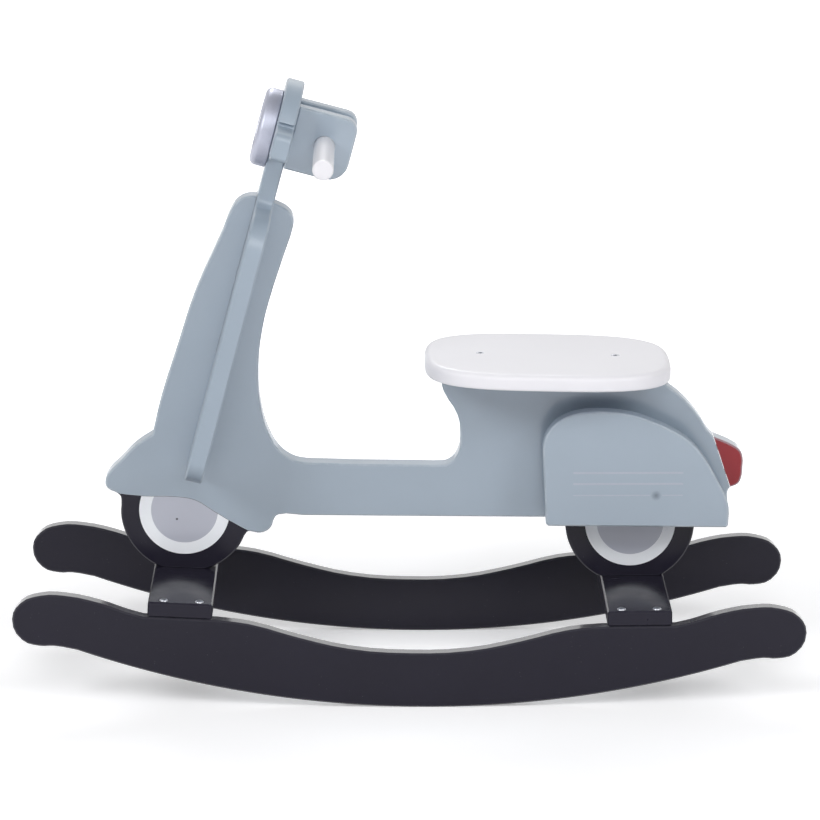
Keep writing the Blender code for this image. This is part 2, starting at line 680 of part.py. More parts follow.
# Wheels and cross-boards
def make_wheel(end, hub_x, seam, seat, body):
    """A flat wheel in the plane of the body, cut to its cross-board below."""
    wheel = plate_piece(end + "_wheel_plate", below(seam), BLACK)
    depth = WHEEL_RADIUS
    floor_size = (4 * WHEEL_RADIUS, 2 * BODY_THICKNESS, depth)
    floor_middle = (0, 0, BOARD_THICKNESS + FIT_GAP - depth / 2)
    cut(wheel, box("floor_" + end, floor_size, seat, floor_middle))
    for place, along in (("fore", -1), ("aft", 1)):
        x = hub_x + along * WHEEL_DOWEL_OFFSET
        middle = (x, 0, seam_height(seam, x))
        name = end + "_wheel_dowel_" + place
        add_dowel(name, WHEEL_DOWEL_LENGTH, TOY, middle, (0, 0, 0), (wheel, body))
    return wheel


def seam_height(seam, x):
    """Height of a seam, read off the two of its points on each side of x."""
    for after, before in zip(seam, seam[1:]):
        if before[0] <= x <= after[0]:
            share = (x - before[0]) / (after[0] - before[0])
            return before[1] + share * (after[1] - before[1])
    return seam[-1][1]


def make_cross_board(end, seat, wheel, rockers):
    size = (BOARD_WIDTH, ROCKER_SPREAD, BOARD_THICKNESS)
    name = end + "_cross_board"
    cross_board = box(name, size, seat, (0, 0, BOARD_THICKNESS / 2), (0, 0, 0), BLACK)
    soften(cross_board, EDGE_ROUND)
    for place, along in (("fore", -1), ("aft", 1)):
        for (side, sign), rocker in zip(SIDES, rockers):
            head_at = (along * BOARD_SCREW_OFFSET, sign * ROCKER_Y, BOARD_THICKNESS)
            screw_name = end + "_board_screw_" + side + "_" + place
            add_screw(screw_name, BOARD_SCREW_LENGTH, seat, head_at, (0, 0, 0), (cross_board, rocker))
        head_at = (along * WHEEL_SCREW_OFFSET, 0, 0)
        screw_name = end + "_wheel_screw_" + place
        add_screw(screw_name, WHEEL_SCREW_LENGTH, seat, head_at, (math.radians(180), 0, 0), (cross_board, wheel))


# Cowls
def cowl_outline():
    return [about_rear_hub(-0.0818, 0.0039, SHARP), about_rear_hub(-0.0840, 0.0061, SHARP),
            about_rear_hub(-0.0887, 0.0723, SHARP), about_rear_hub(-0.0885, 0.0873),
            about_rear_hub(-0.0839, 0.0988), about_rear_hub(-0.0742, 0.1092),
            about_rear_hub(-0.0602, 0.1160), about_rear_hub(-0.0420, 0.1189),
            about_rear_hub(-0.0278, 0.1191), about_rear_hub(-0.0035, 0.1163),
            about_rear_hub(0.0180, 0.1094), about_rear_hub(0.0368, 0.1010),
            about_rear_hub(0.0542, 0.0896), about_rear_hub(0.0690, 0.0722),
            about_rear_hub(0.0813, 0.0519), about_rear_hub(0.0897, 0.0359),
            about_rear_hub(0.0930, 0.0256), about_rear_hub(0.0930, 0.0076, SHARP),
            about_rear_hub(0.0910, 0.0056, SHARP)]


def spacer_outline():
    corners = [(-0.0745, 0.0180, 0.008), (-0.0745, 0.1030, 0.022), (0.0220, 0.1000, 0.030),
               (0.0785, 0.0450, 0.015), (0.0785, 0.0180, 0.008)]
    return filleted([(REAR_WHEEL_X + x, REAR_HUB_Z + z, radius) for x, z, radius in corners])


def make_cowls(body):
    middle_z = REAR_HUB_Z + COWL_DOWEL_RISE
    joined = [body]
    for side, sign in SIDES:
        cowl = board("rear_cowl_" + side, cowl_outline(), COWL_THICKNESS, TOY, (0, sign * COWL_Y, 0),
                     ALONG, BLUE_GREY)
        spacer = board("cowl_spacer_" + side, spacer_outline(), COWL_GAP - 2 * FIT_GAP, TOY,
                       (0, sign * SPACER_Y, 0), ALONG, BLUE_GREY)
        joined += [cowl, spacer]
    length = 2 * (COWL_Y + COWL_THICKNESS / 2 - COWL_DOWEL_INSET)
    for place, along in (("fore", -1), ("aft", 1)):
        middle = (REAR_WHEEL_X + along * COWL_DOWEL_SPACING / 2, 0, middle_z)
        add_dowel("cowl_dowel_" + place, length, TOY, middle, (math.radians(90), 0, 0), joined)


# Tail light
def make_tail_light(body):
    light = plate_piece("tail_light", behind_tail_seam(), RED)
    seam_x = REAR_WHEEL_X + (TAIL_SEAM_TOP[0] + TAIL_SEAM_BOTTOM[0]) / 2
    seam_z = REAR_HUB_Z + (TAIL_SEAM_TOP[1] + TAIL_SEAM_BOTTOM[1]) / 2
    across_seam = (0, TAIL_SEAM_ANGLE, 0)
    for place, up in (("lower", -1), ("upper", 1)):
        reach = up * TAIL_DOWEL_OFFSET
        middle = (seam_x - reach * TAIL_SEAM_NORMAL[1], 0, seam_z + reach * TAIL_SEAM_NORMAL[0])
        add_dowel("tail_dowel_" + place, TAIL_DOWEL_LENGTH, TOY, middle, across_seam, (light, body))


def make_scooter():
    rockers = make_rockers()
    body = make_body()
    shield = make_shield()
    make_headlight(shield)
    make_handlebar(shield)
    make_seat(body)
    front_wheel = make_wheel("front", FRONT_WHEEL_X, front_seam(), FRONT_SEAT, body)
    rear_wheel = make_wheel("rear", REAR_WHEEL_X, rear_seam(), REAR_SEAT, body)
    make_cross_board("front", FRONT_SEAT, front_wheel, rockers)
    make_cross_board("rear", REAR_SEAT, rear_wheel, rockers)
    make_cowls(body)
    make_tail_light(body)
    bpy.context.view_layer.update()


make_scooter()
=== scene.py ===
"""Looks of the painted rocking scooter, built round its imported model.

The frame is the model's own: metres, -X to the headlight, -Y to the rider's left, +Z up.
"""

import math

import bmesh
import bpy
import numpy
from mathutils import Matrix, Vector


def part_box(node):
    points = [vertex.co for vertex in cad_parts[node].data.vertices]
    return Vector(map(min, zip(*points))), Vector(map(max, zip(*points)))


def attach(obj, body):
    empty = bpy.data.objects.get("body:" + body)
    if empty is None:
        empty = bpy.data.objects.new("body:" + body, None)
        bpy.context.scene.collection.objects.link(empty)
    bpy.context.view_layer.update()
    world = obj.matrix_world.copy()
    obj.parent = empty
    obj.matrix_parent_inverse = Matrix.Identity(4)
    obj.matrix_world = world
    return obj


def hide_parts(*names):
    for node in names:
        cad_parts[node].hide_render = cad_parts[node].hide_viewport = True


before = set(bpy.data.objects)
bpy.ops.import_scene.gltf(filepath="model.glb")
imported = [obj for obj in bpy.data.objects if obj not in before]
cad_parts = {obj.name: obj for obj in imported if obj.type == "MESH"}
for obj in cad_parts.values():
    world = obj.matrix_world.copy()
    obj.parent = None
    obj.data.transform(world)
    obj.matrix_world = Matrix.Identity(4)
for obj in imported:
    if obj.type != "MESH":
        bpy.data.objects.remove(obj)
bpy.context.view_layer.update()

# The toy's rest pose: it rolls back on its rockers by this angle, and its arc centre is this high
REST_TILT = math.radians(1.2)
ARC_CENTRE_HEIGHT = 1.007
REST_SHIFT = 0.0195

# Boards and wheels, in the scooter's own frame before it rolls back
WHEEL_HUBS = {"front": (-0.2212, 0.1586), "rear": (0.2158, 0.1547)}
WHEEL_HALF_THICKNESS = 0.011
COWL_OUTER_FACE = 0.048
SHIELD_LEAN = math.radians(13.79)

# Painted rings, and how thick a paint film is and how far it stands off its board
RING_OUTER_RADIUS = 0.0443
RING_INNER_RADIUS = 0.0327
FILM_THICKNESS = 0.00016
FILM_LIFT = 0.00001

# The filled screw hole on each cowl, at this X and Z of the model's frame. Its paint is darkened
# towards the middle as painted shade of the filler's dip
FILLED_HOLE = (0.2398, 0.1872)
FILLED_HOLE_RADIUS = 0.0060
FILLED_HOLE_CORE = 0.0012
FILLED_HOLE_WOBBLE = 0.0012

# The ways that flat faces look, and the toy's two sides along Y
SIDEWAYS = (0, 1, 0)
UPWARD = (0, 0, 1)
ALONG_SHIELD_NORMAL = tuple(Matrix.Rotation(REST_TILT + SHIELD_LEAN, 3, 'Y') @ Vector((1, 0, 0)))
SIDES = (("left", -1), ("right", 1))

# Colours as red, green and blue, each from 0 to 255
BLUE_GREY = (155, 169, 183)
# The lighter worn colours are rubbed paint at the edges together with a painted highlight there
BLUE_GREY_WORN_AND_HIGHLIT = (208, 216, 222)
TRIM_GREY = (167, 173, 187)
# Painted shade at the middle of the filled screw hole's paint, where it dips
FILLED_HOLE_SHADE_GREY = (104, 117, 130)
BLACK = (32, 30, 43)
BLACK_WORN_AND_HIGHLIT = (74, 74, 82)
WHITE = (242, 241, 246)
WHITE_WORN_AND_HIGHLIT = (250, 250, 252)
RING_WHITE = (246, 249, 254)
HUB_GREY = (182, 185, 198)
RED = (147, 36, 44)
SILVER = (184, 187, 202)
LENS_WHITE = (232, 232, 236)
STEEL = (222, 224, 230)
STEEL_BLOOM = (150, 152, 160)
DUST = (225, 225, 222)
# A lighter grey on the rockers' sawn edges: painted sheen, the glossy black edges' reflection put into
# their colour
ROCKER_EDGE_PAINTED_SHEEN = (66, 65, 72)
# A dark grey disc that paints the shade inside a pin hole in the hub
PIN_HOLE_SHADE_GREY = (66, 64, 74)
BEECH_LIGHT = (222, 190, 146)
BEECH_DARK = (188, 148, 104)
FLOOR_WHITE = (238, 238, 240)


def colour(rgb):
    """Turns written colour bytes into the linear values that shaders take."""
    linear = []
    for byte in rgb:
        part = byte / 255
        linear.append(part / 12.92 if part <= 0.04045 else ((part + 0.055) / 1.055) ** 2.4)
    return (*linear, 1.0)


def toy_place(x, y, z):
    """Turns a point of the scooter's own frame into the model's frame."""
    centre = Vector((0, 0, ARC_CENTRE_HEIGHT))
    turned = Matrix.Rotation(REST_TILT, 3, 'Y') @ (Vector((x, y, z)) - centre)
    return turned + centre + Vector((REST_SHIFT, 0, 0))


# Node helpers

NOISE_LOW = 0.3
NOISE_HIGH = 0.7


def fill_inputs(tree, node, values):
    """Sets each named input to its value, or joins it to another node's output."""
    for socket, value in values.items():
        if isinstance(value, bpy.types.NodeSocket):
            tree.links.new(value, node.inputs[socket])
        else:
            node.inputs[socket].default_value = value


def wire(tree, kind, values, **settings):
    """Adds a node with these settings, and fills its inputs."""
    made = tree.nodes.new(kind)
    for name, setting in settings.items():
        setattr(made, name, setting)
    fill_inputs(tree, made, values)
    return made


def maths(tree, operation, first, second, clamp=False):
    """One sum, product or other operation on two values."""
    made = wire(tree, 'ShaderNodeMath', {0: first, 1: second}, operation=operation, use_clamp=clamp)
    return made.outputs[0]


def remap(tree, value, from_low, from_high, to_low, to_high):
    """Stretches one range of values onto another, and stays within it."""
    sockets = {"Value": value, "From Min": from_low, "From Max": from_high,
               "To Min": to_low, "To Max": to_high}
    return wire(tree, 'ShaderNodeMapRange', sockets).outputs["Result"]


def blended(tree, share, first, second):
    """Mixes two colours: share 0 gives the first and 1 the second.

    The node's inputs 6 and 7 and its output 2 are those for colours.
    """
    return wire(tree, 'ShaderNodeMix', {0: share, 6: first, 7: second}, data_type='RGBA').outputs[2]


def noise(tree, where, scale, detail=3.0, roughness=0.5):
    """Soft random patches from 0 to 1, with this many to the metre."""
    sockets = {"Vector": where, "Scale": scale, "Detail": detail, "Roughness": roughness}
    return wire(tree, 'ShaderNodeTexNoise', sockets).outputs["Fac"]


def spread(tree, pattern, low, high):
    """Stretches the range that most of a noise pattern keeps to onto these values."""
    return remap(tree, pattern, NOISE_LOW, NOISE_HIGH, low, high)


def stretched(tree, where, scale):
    """Scales each axis of a pattern's coordinates by its own share."""
    return wire(tree, 'ShaderNodeMapping', {"Vector": where, "Scale": scale}).outputs["Vector"]


def object_coordinates(tree):
    """The place on the piece, in metres of the model's frame."""
    return tree.nodes.new('ShaderNodeTexCoord').outputs["Object"]


def start_group(name, inputs, outputs):
    """Makes a shader node group and returns it with the sockets of its entry and exit nodes."""
    group = bpy.data.node_groups.new(name, 'ShaderNodeTree')
    for label, kind, value in inputs:
        socket = group.interface.new_socket(name=label, in_out='INPUT', socket_type=kind)
        socket.default_value = value
    for label, kind in outputs:
        group.interface.new_socket(name=label, in_out='OUTPUT', socket_type=kind)
    entry = group.nodes.new('NodeGroupInput')
    leave = group.nodes.new('NodeGroupOutput')
    return group, entry.outputs, leave.inputs


def place_group(tree, group, values):
    """Adds a shared effect to a material, fills its inputs and returns its outputs."""
    made = tree.nodes.new('ShaderNodeGroup')
    made.node_tree = group
    fill_inputs(tree, made, values)
    return made.outputs


# Shared effects

# Where a face counts as a sawn edge, by how far its normal lies along the board's axis
CUT_EDGE_RANGE = (0.35, 0.85)
# Where a corner counts as sharp, by how well its normal agrees with its surroundings
SHARP_CORNER_RANGE = (0.995, 0.80)
# Where noise patterns break up the wear and the painted edge highlight, and turn into scratches,
# specks and groups of specks
BROKEN_WEAR_RANGE = (0.35, 0.65)
SCRATCH_RANGE = (0.66, 0.74)
SPECK_RANGE = (0.05, 0.11)
SPECK_GROUP_RANGE = (0.52, 0.62)
LEAST_WEAR = 0.35


def make_sprayed_film():
    """Sprayed paint: a faint cloudiness, orange peel, and a fuzzier skin where the mask marks cut edges."""
    inputs = [("Paint", 'NodeSocketColor', (1, 1, 1, 1)), ("Cloudiness", 'NodeSocketFloat', 0.02),
              ("Peel", 'NodeSocketFloat', 0.1), ("Smoothest", 'NodeSocketFloat', 0.3),
              ("Roughest", 'NodeSocketFloat', 0.4), ("Cut edge", 'NodeSocketFloat', 0.0)]
    outputs = [("Colour", 'NodeSocketColor'), ("Roughness", 'NodeSocketFloat'),
               ("Normal", 'NodeSocketVector')]
    group, given, result = start_group("sprayed film", inputs, outputs)
    where = object_coordinates(group)
    link = group.links.new

    clouds = noise(group, where, scale=13.0, detail=4.0, roughness=0.55)
    darkest = maths(group, 'SUBTRACT', 1.0, given["Cloudiness"])
    lightest = maths(group, 'ADD', 1.0, given["Cloudiness"])
    brightness = spread(group, clouds, darkest, lightest)
    tinted = wire(group, 'ShaderNodeHueSaturation', {"Color": given["Paint"], "Value": brightness})
    link(tinted.outputs["Color"], result["Colour"])

    patches = noise(group, where, scale=46.0)
    sheen = spread(group, patches, given["Smoothest"], given["Roughest"])
    fuzz = maths(group, 'MULTIPLY', given["Cut edge"], 0.10)
    link(maths(group, 'ADD', sheen, fuzz), result["Roughness"])

    ripples = noise(group, where, scale=430.0, detail=2.0)
    peel = maths(group, 'MULTIPLY', ripples, given["Peel"])
    fuzzy_skin = noise(group, where, scale=1500.0, roughness=0.65)
    fibres = maths(group, 'MULTIPLY', fuzzy_skin, given["Cut edge"])
    height = maths(group, 'ADD', peel, maths(group, 'MULTIPLY', fibres, 0.35))
    bump = wire(group, 'ShaderNodeBump', {"Height": height, "Strength": 0.35, "Distance": 0.0005})
    link(bump.outputs["Normal"], result["Normal"])
    return group


def make_cut_edge_mask():
    """Marks the sawn edges of a board: the faces whose normal lies across the board's own axis."""
    group, given, result = start_group("cut edge mask", [("Board axis", 'NodeSocketVector', (0, 1, 0))],
                                       [("Mask", 'NodeSocketFloat')])
    facing = group.nodes.new('ShaderNodeNewGeometry').outputs["Normal"]
    agreement = wire(group, 'ShaderNodeVectorMath', {0: facing, 1: given["Board axis"]},
                     operation='DOT_PRODUCT')
    along = maths(group, 'ABSOLUTE', agreement.outputs["Value"], 0.0)
    group.links.new(remap(group, along, *CUT_EDGE_RANGE, 1.0, 0.0), result["Mask"])
    return group


def make_edge_wear_and_highlight_mask():
    """Marks lightened corners: handling-thinned paint and a painted highlight on roundings, broken by
    noise.
    """
    inputs = [("Width", 'NodeSocketFloat', 0.002), ("Amount", 'NodeSocketFloat', 0.5),
              ("Rounding highlight", 'NodeSocketFloat', 0.0)]
    group, given, result = start_group("edge wear and painted highlight mask", inputs, [("Mask", 'NodeSocketFloat')])
    facing = group.nodes.new('ShaderNodeNewGeometry').outputs["Normal"]
    rounded = wire(group, 'ShaderNodeBevel', {"Radius": given["Width"]}, samples=6).outputs["Normal"]
    agreement = wire(group, 'ShaderNodeVectorMath', {0: facing, 1: rounded}, operation='DOT_PRODUCT')
    sharp = remap(group, agreement.outputs["Value"], *SHARP_CORNER_RANGE, 0.0, 1.0)
    # The rounding's share is a painted highlight along rounded edges
    corner = maths(group, 'MAXIMUM', sharp, given["Rounding highlight"])
    patches = noise(group, object_coordinates(group), scale=90.0, detail=4.0, roughness=0.6)
    broken = remap(group, patches, *BROKEN_WEAR_RANGE, LEAST_WEAR, 1.0)
    worn_and_highlit = maths(group, 'MULTIPLY', corner, broken)
    group.links.new(maths(group, 'MULTIPLY', worn_and_highlit, given["Amount"], True), result["Mask"])
    return group


def make_handling_marks():
    """Marks fine scratches along the board and a thin scatter of dust specks."""
    outputs = [("Scratches", 'NodeSocketFloat'), ("Dust", 'NodeSocketFloat')]
    group, given, result = start_group("handling marks", [("Amount", 'NodeSocketFloat', 0.5)], outputs)
    where = object_coordinates(group)
    lines = noise(group, stretched(group, where, (22.0, 400.0, 900.0)), scale=1.0, roughness=0.6)
    scratches = remap(group, lines, *SCRATCH_RANGE, 0.0, 1.0)
    group.links.new(maths(group, 'MULTIPLY', scratches, given["Amount"]), result["Scratches"])
    specks = wire(group, 'ShaderNodeTexVoronoi', {"Vector": where, "Scale": 240.0}).outputs["Distance"]
    dots = remap(group, specks, *SPECK_RANGE, 1.0, 0.0)
    groups = remap(group, noise(group, where, scale=60.0), *SPECK_GROUP_RANGE, 0.0, 1.0)
    thinned = maths(group, 'MULTIPLY', dots, groups)
    group.links.new(maths(group, 'MULTIPLY', thinned, given["Amount"]), result["Dust"])
    return group


SPRAYED_FILM = make_sprayed_film()
CUT_EDGE_MASK = make_cut_edge_mask()
EDGE_WEAR_AND_HIGHLIGHT_MASK = make_edge_wear_and_highlight_mask()
HANDLING_MARKS = make_handling_marks()

# How much of each shared effect a painted board takes
# How far the lightened corners reach, worn paint and painted highlight alike
WORN_AND_HIGHLIT_WIDTH = 0.0022
MARKS_AMOUNT = 0.5
DUST_SHARE = 0.12
SCRATCH_ROUGHENING = 0.12

# A face halfway between flat and edge gives 0.25 and counts as fully rounded, with a full painted highlight
HALF_TURNED_TO_FULL = 4.0


# Materials

def start_material(name):
    """Makes an empty material with its Principled shader, and returns it with its tree and that shader."""
    material = bpy.data.materials.new(name)
    material.use_nodes = True
    tree = material.node_tree
    return material, tree, tree.nodes["Principled BSDF"]


def rubbed_and_highlit(tree, coat, worn_and_highlit, wear, cut):
    """The paint's colour, with corners and rounded edges lightened: rubbed paint and a painted highlight.
    """
    half_turned = maths(tree, 'MULTIPLY', cut, maths(tree, 'SUBTRACT', 1.0, cut))
    rounding_highlight = maths(tree, 'MULTIPLY', half_turned, HALF_TURNED_TO_FULL, True)
    wear_and_highlight_share = place_group(tree, EDGE_WEAR_AND_HIGHLIGHT_MASK, {"Width": WORN_AND_HIGHLIT_WIDTH, "Amount": wear,
                                                "Rounding highlight": rounding_highlight})["Mask"]
    return blended(tree, wear_and_highlight_share, coat, colour(worn_and_highlit))


def painted_board(name, paint, worn_and_highlit, axis, sheen, edge_paint_and_sheen=None, wear=0.5, peel=0.12, cloudiness=0.02,
                  specular=0.5, lacquer=1.0, lacquer_roughness=0.10, edge_lacquer=None):
    """Paint on a board whose flat faces look along axis.

    The sheen is the paint's least and greatest roughness. Its worn colour lightens the corners and
    roundings: rubbed paint, and a painted highlight along them. Its sawn edges may have their own paint,
    which on the rockers is a lighter grey that paints the sheen of their glossy edges, and their own
    weight of lacquer.
    """
    smoothest, roughest = sheen
    material, tree, shader = start_material(name)
    link = tree.links.new
    cut = place_group(tree, CUT_EDGE_MASK, {"Board axis": axis})["Mask"]
    coat = colour(paint)
    # On the rockers this edge paint is a painted sheen; on the tail light it is the body's own colour
    if edge_paint_and_sheen:
        coat = blended(tree, cut, colour(paint), colour(edge_paint_and_sheen))
    film = place_group(tree, SPRAYED_FILM, {"Paint": coat, "Cloudiness": cloudiness, "Peel": peel,
                                            "Smoothest": smoothest, "Roughest": roughest, "Cut edge": cut})
    marks = place_group(tree, HANDLING_MARKS, {"Amount": MARKS_AMOUNT})
    rubbed_and_highlit_colour = rubbed_and_highlit(tree, film["Colour"], worn_and_highlit, wear, cut)
    dustiness = maths(tree, 'MULTIPLY', marks["Dust"], DUST_SHARE)
    link(blended(tree, dustiness, rubbed_and_highlit_colour, colour(DUST)), shader.inputs["Base Color"])
    scratched = maths(tree, 'MULTIPLY', marks["Scratches"], SCRATCH_ROUGHENING)
    link(maths(tree, 'ADD', film["Roughness"], scratched, True), shader.inputs["Roughness"])
    link(film["Normal"], shader.inputs["Normal"])
    shader.inputs["Specular IOR Level"].default_value = specular
    shader.inputs["Coat Weight"].default_value = lacquer
    if edge_lacquer is not None:
        link(remap(tree, cut, 0.0, 1.0, lacquer, edge_lacquer), shader.inputs["Coat Weight"])
    shader.inputs["Coat Roughness"].default_value = lacquer_roughness
    return material


def filler_with_painted_shade(name):
    """Paint over a filled screw hole, with painted shade of its dip.

    Darkest at its middle, and gone into the board's paint at its rim.
    """
    material = painted_board(name, BLUE_GREY, BLUE_GREY_WORN_AND_HIGHLIT, SIDEWAYS, SATIN, wear=0.0)
    tree = material.node_tree
    shader = tree.nodes["Principled BSDF"]
    parts = wire(tree, 'ShaderNodeSeparateXYZ', {"Vector": object_coordinates(tree)}).outputs
    flat = wire(tree, 'ShaderNodeCombineXYZ', {"X": parts["X"], "Z": parts["Z"]}).outputs["Vector"]
    middle = (FILLED_HOLE[0], 0, FILLED_HOLE[1])
    away = wire(tree, 'ShaderNodeVectorMath', {0: flat, 1: middle},
                operation='DISTANCE').outputs["Value"]
    ripples = noise(tree, object_coordinates(tree), scale=500.0)
    wobble = maths(tree, 'MULTIPLY', ripples, FILLED_HOLE_WOBBLE)
    reach = maths(tree, 'ADD', away, wobble)
    # The darkening is painted shade of the filled hole's dip
    shade_share = remap(tree, reach, FILLED_HOLE_CORE, FILLED_HOLE_RADIUS, 1.0, 0.0)
    plain = shader.inputs["Base Color"].links[0].from_socket
    tree.links.new(blended(tree, shade_share, plain, colour(FILLED_HOLE_SHADE_GREY)), shader.inputs["Base Color"])
    return material


def silver_paint(name, paint):
    """Metallic paint: fine flakes in a smooth silver film."""
    material, tree, shader = start_material(name)
    link = tree.links.new
    where = object_coordinates(tree)
    flakes = wire(tree, 'ShaderNodeTexVoronoi', {"Vector": where, "Scale": 2600.0}).outputs["Color"]
    sparkle = wire(tree, 'ShaderNodeSeparateColor', {"Color": flakes}).outputs["Red"]
    bright = remap(tree, sparkle, 0.0, 1.0, 0.93, 1.05)
    film = place_group(tree, SPRAYED_FILM, {"Paint": colour(paint), "Cloudiness": 0.03, "Peel": 0.10,
                                            "Smoothest": 0.38, "Roughest": 0.46})
    tinted = wire(tree, 'ShaderNodeHueSaturation', {"Color": film["Colour"], "Value": bright})
    link(tinted.outputs["Color"], shader.inputs["Base Color"])
    link(film["Roughness"], shader.inputs["Roughness"])
    link(film["Normal"], shader.inputs["Normal"])
    shader.inputs["Metallic"].default_value = 0.55
    return material


def zinc_steel(name):
    """Zinc plated steel with fine turning marks and a slightly dull bloom."""
    material, tree, shader = start_material(name)
    link = tree.links.new
    where = object_coordinates(tree)
    bloom = noise(tree, where, scale=260.0, detail=4.0, roughness=0.6)
    link(blended(tree, bloom, colour(STEEL), colour(STEEL_BLOOM)), shader.inputs["Base Color"])
    link(spread(tree, noise(tree, where, scale=900.0), 0.24, 0.42), shader.inputs["Roughness"])
    marks = noise(tree, stretched(tree, where, (1500.0, 1500.0, 6000.0)), scale=1.0, detail=2.0)
    bump = wire(tree, 'ShaderNodeBump', {"Height": marks, "Strength": 0.2, "Distance": 0.0001})
    link(bump.outputs["Normal"], shader.inputs["Normal"])
    shader.inputs["Metallic"].default_value = 1.0
    return material


def beech_wood(name, grain_scale):
    """Bare beech with pores and grain that run along the dowel."""
    material, tree, shader = start_material(name)
    link = tree.links.new
    along = stretched(tree, object_coordinates(tree), grain_scale)
    grain = noise(tree, along, scale=1.0, detail=5.0, roughness=0.6)
    darkening = remap(tree, grain, 0.35, 0.7, 0.0, 1.0)
    beech = blended(tree, darkening, colour(BEECH_LIGHT), colour(BEECH_DARK))
    link(beech, shader.inputs["Base Color"])
    link(spread(tree, grain, 0.52, 0.68), shader.inputs["Roughness"])
    bump = wire(tree, 'ShaderNodeBump', {"Height": grain, "Strength": 0.4, "Distance": 0.0002})
    link(bump.outputs["Normal"], shader.inputs["Normal"])
    return material


SATIN = (0.34, 0.42)
GLOSS = (0.16, 0.24)
BLACK_FILM = {"peel": 0.08, "cloudiness": 0.05, "specular": 0.25, "lacquer": 0.0}
WHITE_FILM = {"wear": 0.3, "peel": 0.10, "cloudiness": 0.006}

body_paint = painted_board("blue_grey_paint", BLUE_GREY, BLUE_GREY_WORN_AND_HIGHLIT, SIDEWAYS, SATIN,
                           wear=0.5, edge_lacquer=0.5)
shield_paint = painted_board("blue_grey_paint_on_shield", BLUE_GREY, BLUE_GREY_WORN_AND_HIGHLIT,
                             ALONG_SHIELD_NORMAL, SATIN, wear=0.08, lacquer=0.6,
                             lacquer_roughness=0.24)
# The rockers' sawn edges take a lighter grey, a painted sheen of their glossy edges
rocker_paint = painted_board("black_paint_on_rockers", BLACK, BLACK_WORN_AND_HIGHLIT, SIDEWAYS, GLOSS,
                             wear=0.35, edge_paint_and_sheen=ROCKER_EDGE_PAINTED_SHEEN, edge_lacquer=1.0, **BLACK_FILM)
black_side_paint = painted_board("black_paint_on_sides", BLACK, BLACK_WORN_AND_HIGHLIT, SIDEWAYS, GLOSS,
                                 wear=0.35, **BLACK_FILM)
black_top_paint = painted_board("black_paint_on_cross_boards", BLACK, BLACK_WORN_AND_HIGHLIT, UPWARD, GLOSS,
                                wear=0.3, **BLACK_FILM)
white_paint = painted_board("white_paint_on_seat", WHITE, WHITE_WORN_AND_HIGHLIT, UPWARD, (0.32, 0.40),
                            specular=0.25, lacquer=0.16, **WHITE_FILM)
grip_paint = painted_board("white_paint_on_grips", WHITE, WHITE_WORN_AND_HIGHLIT, SIDEWAYS, (0.30, 0.38),
                           specular=0.3, lacquer=0.4, **WHITE_FILM)
tail_light_paint = painted_board("red_paint_on_tail_light", RED, BLUE_GREY_WORN_AND_HIGHLIT, SIDEWAYS, (0.30, 0.38),
                                 edge_paint_and_sheen=BLUE_GREY, wear=0.25, specular=0.35, lacquer=0.15,
                                 edge_lacquer=1.0)
ring_paint = painted_board("white_ring_paint", RING_WHITE, WHITE, SIDEWAYS, SATIN, wear=0.2,
                           peel=0.08, cloudiness=0.008)
hub_paint = painted_board("grey_hub_paint", HUB_GREY, RING_WHITE, SIDEWAYS, (0.30, 0.38), wear=0.1,
                          peel=0.08)
trim_paint = painted_board("trim_line_paint", TRIM_GREY, BLUE_GREY_WORN_AND_HIGHLIT, SIDEWAYS, (0.36, 0.42),
                           wear=0.3)
filler_paint_and_shade = filler_with_painted_shade("painted_filler_with_shade")
lens_paint = painted_board("lens_paint", LENS_WHITE, WHITE, ALONG_SHIELD_NORMAL, (0.12, 0.18),
                           wear=0.1, peel=0.04, cloudiness=0.01)
headlight_paint = silver_paint("silver_paint_on_headlight", SILVER)
pin_hole_shade_paint = painted_board("pin_hole_painted_shade", PIN_HOLE_SHADE_GREY, HUB_GREY, SIDEWAYS, (0.40, 0.50), wear=0.2)
screw_steel = zinc_steel("zinc_plated_steel")
cross_dowel_beech = beech_wood("beech_across", grain_scale=(900.0, 60.0, 900.0))
upright_dowel_beech = beech_wood("beech_upright", grain_scale=(900.0, 900.0, 60.0))


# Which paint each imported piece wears

PAINTED_NODES = {
    body_paint: ("body_plate", "handlebar_cheek_left", "handlebar_cheek_right", "rear_cowl_left",
                 "rear_cowl_right", "cowl_spacer_left", "cowl_spacer_right"),
    shield_paint: ("shield_plate",),
    rocker_paint: ("rocker_left", "rocker_right"),
    black_side_paint: ("front_wheel_plate", "rear_wheel_plate"),
    black_top_paint: ("front_cross_board", "rear_cross_board"),
    white_paint: ("seat_board",),
    grip_paint: ("handlebar_rod",),
    tail_light_paint: ("tail_light",),
    headlight_paint: ("headlight",),
    cross_dowel_beech: ("cowl_dowel_fore", "cowl_dowel_aft"),
    upright_dowel_beech: ("front_wheel_dowel_fore", "front_wheel_dowel_aft", "rear_wheel_dowel_fore",
                          "rear_wheel_dowel_aft", "tail_dowel_lower", "tail_dowel_upper"),
}
for coat, names in PAINTED_NODES.items():
    for name in names:
        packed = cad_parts[name]
        packed.data.materials.clear()
        packed.data.materials.append(coat)


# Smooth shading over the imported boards' small roundings, with their flat faces left flat

CREASE_ANGLE = math.radians(32)
JOIN_DISTANCE = 0.00001


